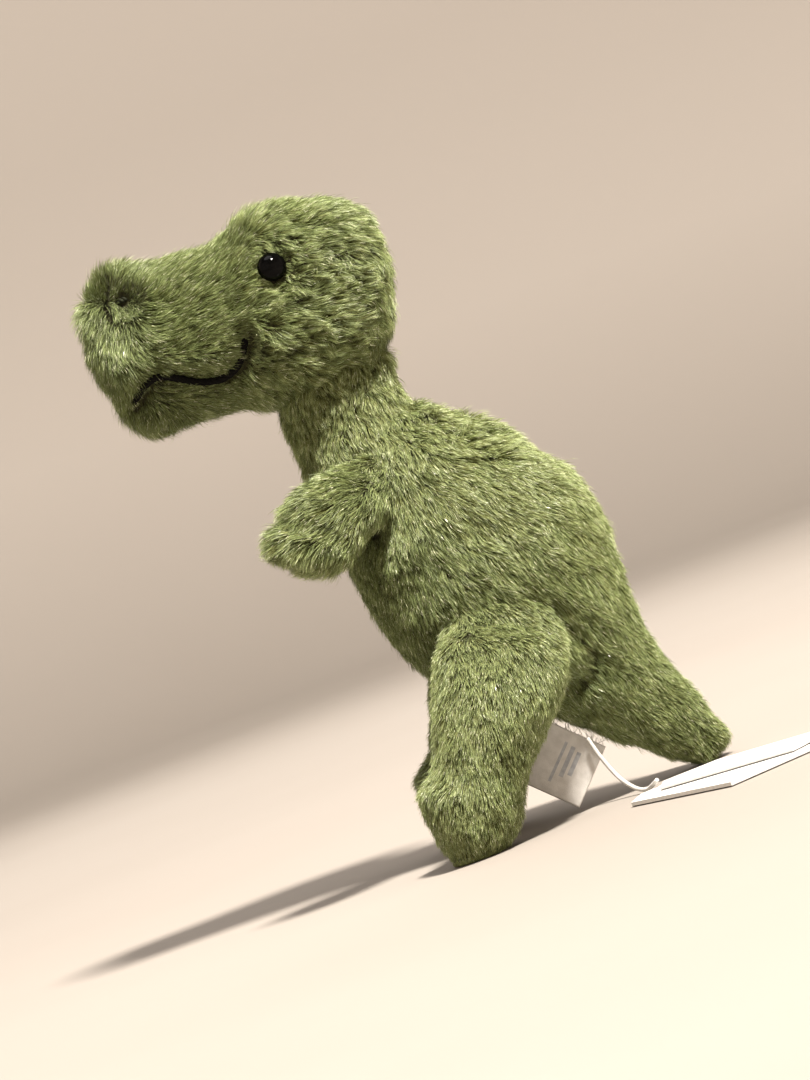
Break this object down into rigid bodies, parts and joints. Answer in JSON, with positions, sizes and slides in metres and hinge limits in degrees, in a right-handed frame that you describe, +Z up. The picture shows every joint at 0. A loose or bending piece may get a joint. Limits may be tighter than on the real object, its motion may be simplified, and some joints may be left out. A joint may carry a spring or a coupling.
{
  "type": "stuffed dinosaur",
  "caption": "Green plush dinosaur with bead eyes that sits on its feet and tail; neck, head, tail, arms and legs bend.",
  "frame": {"origin": "bottom centre of the toy as it stands on its feet and the tip of its tail", "axes": "the toy faces -Y, its left side is +X, +Z is up"},
  "size_m": [0.1376, 0.1606, 0.1855],
  "materials": {
    "green_pile": "matte",
    "stuffing": "matte",
    "bead_eye": "gloss",
    "lock_washer": "satin",
    "mouth_thread": "satin",
    "green_thread": "matte",
    "satin": "satin",
    "white_card": "satin",
    "pouch_cloth": "matte"
  },
  "bodies": {
    "torso": {"body_panel_left": "green_pile", "body_panel_right": "green_pile", "belly_gusset": "green_pile", "body_stuffing": "stuffing", "bead_pouch": "pouch_cloth", "closing_stitch": "green_thread", "card_ribbon": "satin", "booklet_card": "white_card", "price_card": "white_card"},
    "neck": {"neck_sleeve": "green_pile", "neck_stuffing": "stuffing"},
    "head": {"head_panel_left": "green_pile", "head_panel_right": "green_pile", "head_gusset": "green_pile", "head_stuffing": "stuffing", "eye_left": "bead_eye", "eye_right": "bead_eye", "eye_washer_left": "lock_washer", "eye_washer_right": "lock_washer", "mouth_stitch_left": "mouth_thread", "mouth_stitch_right": "mouth_thread", "nostril_stitch_left": "green_thread", "nostril_stitch_right": "green_thread"},
    "tail": {"tail_panel_left": "green_pile", "tail_panel_right": "green_pile", "tail_stuffing": "stuffing"},
    "arm_left": {"arm_cover_left": "green_pile", "arm_stuffing_left": "stuffing"},
    "arm_right": {"arm_cover_right": "green_pile", "arm_stuffing_right": "stuffing"},
    "leg_left": {"leg_cover_left": "green_pile", "leg_stuffing_left": "stuffing", "sole_left": "green_pile"},
    "leg_right": {"leg_cover_right": "green_pile", "leg_stuffing_right": "stuffing", "sole_right": "green_pile"},
    "label": {"sewn_label": "satin"}
  },
  "joints": [
    {"name": "neck_bend", "type": "hinge", "parent": "torso", "child": "neck", "pos_m": [0, -0.00185, 0.12732], "axis": [1, 0, 0], "range_deg": [-15, 15], "stiffness_Nm_per_rad": 0.6},
    {"name": "head_turn", "type": "hinge", "parent": "neck", "child": "head", "pos_m": [0, -0.00142, 0.13411], "axis": [0, -0.0397, 0.9992], "range_deg": [-25, 25], "stiffness_Nm_per_rad": 0.3},
    {"name": "tail_bend", "type": "hinge", "parent": "torso", "child": "tail", "pos_m": [0, 0.04676, 0.02397], "axis": [1, 0, 0], "range_deg": [-12, 12], "stiffness_Nm_per_rad": 0.6},
    {"name": "shoulder_left", "type": "hinge", "parent": "torso", "child": "arm_left", "pos_m": [0.024, 0.00032, 0.10192], "axis": [1, 0, 0], "range_deg": [-25, 25], "stiffness_Nm_per_rad": 0.05},
    {"name": "shoulder_right", "type": "hinge", "parent": "torso", "child": "arm_right", "pos_m": [-0.024, 0.00032, 0.10192], "axis": [1, 0, 0], "range_deg": [-25, 25], "stiffness_Nm_per_rad": 0.05},
    {"name": "hip_left", "type": "hinge", "parent": "torso", "child": "leg_left", "pos_m": [0.027, 0.01563, 0.04909], "axis": [1, 0, 0], "range_deg": [-15, 15], "stiffness_Nm_per_rad": 1.5},
    {"name": "hip_right", "type": "hinge", "parent": "torso", "child": "leg_right", "pos_m": [-0.027, 0.01563, 0.04909], "axis": [1, 0, 0], "range_deg": [-15, 15], "stiffness_Nm_per_rad": 1.5},
    {"name": "label_flap", "type": "hinge", "parent": "torso", "child": "label", "pos_m": [0.0095, 0.02715, 0.02015], "axis": [0, 0.7108, -0.7034], "range_deg": [-10, 25], "stiffness_Nm_per_rad": 0.0008}
  ]
}
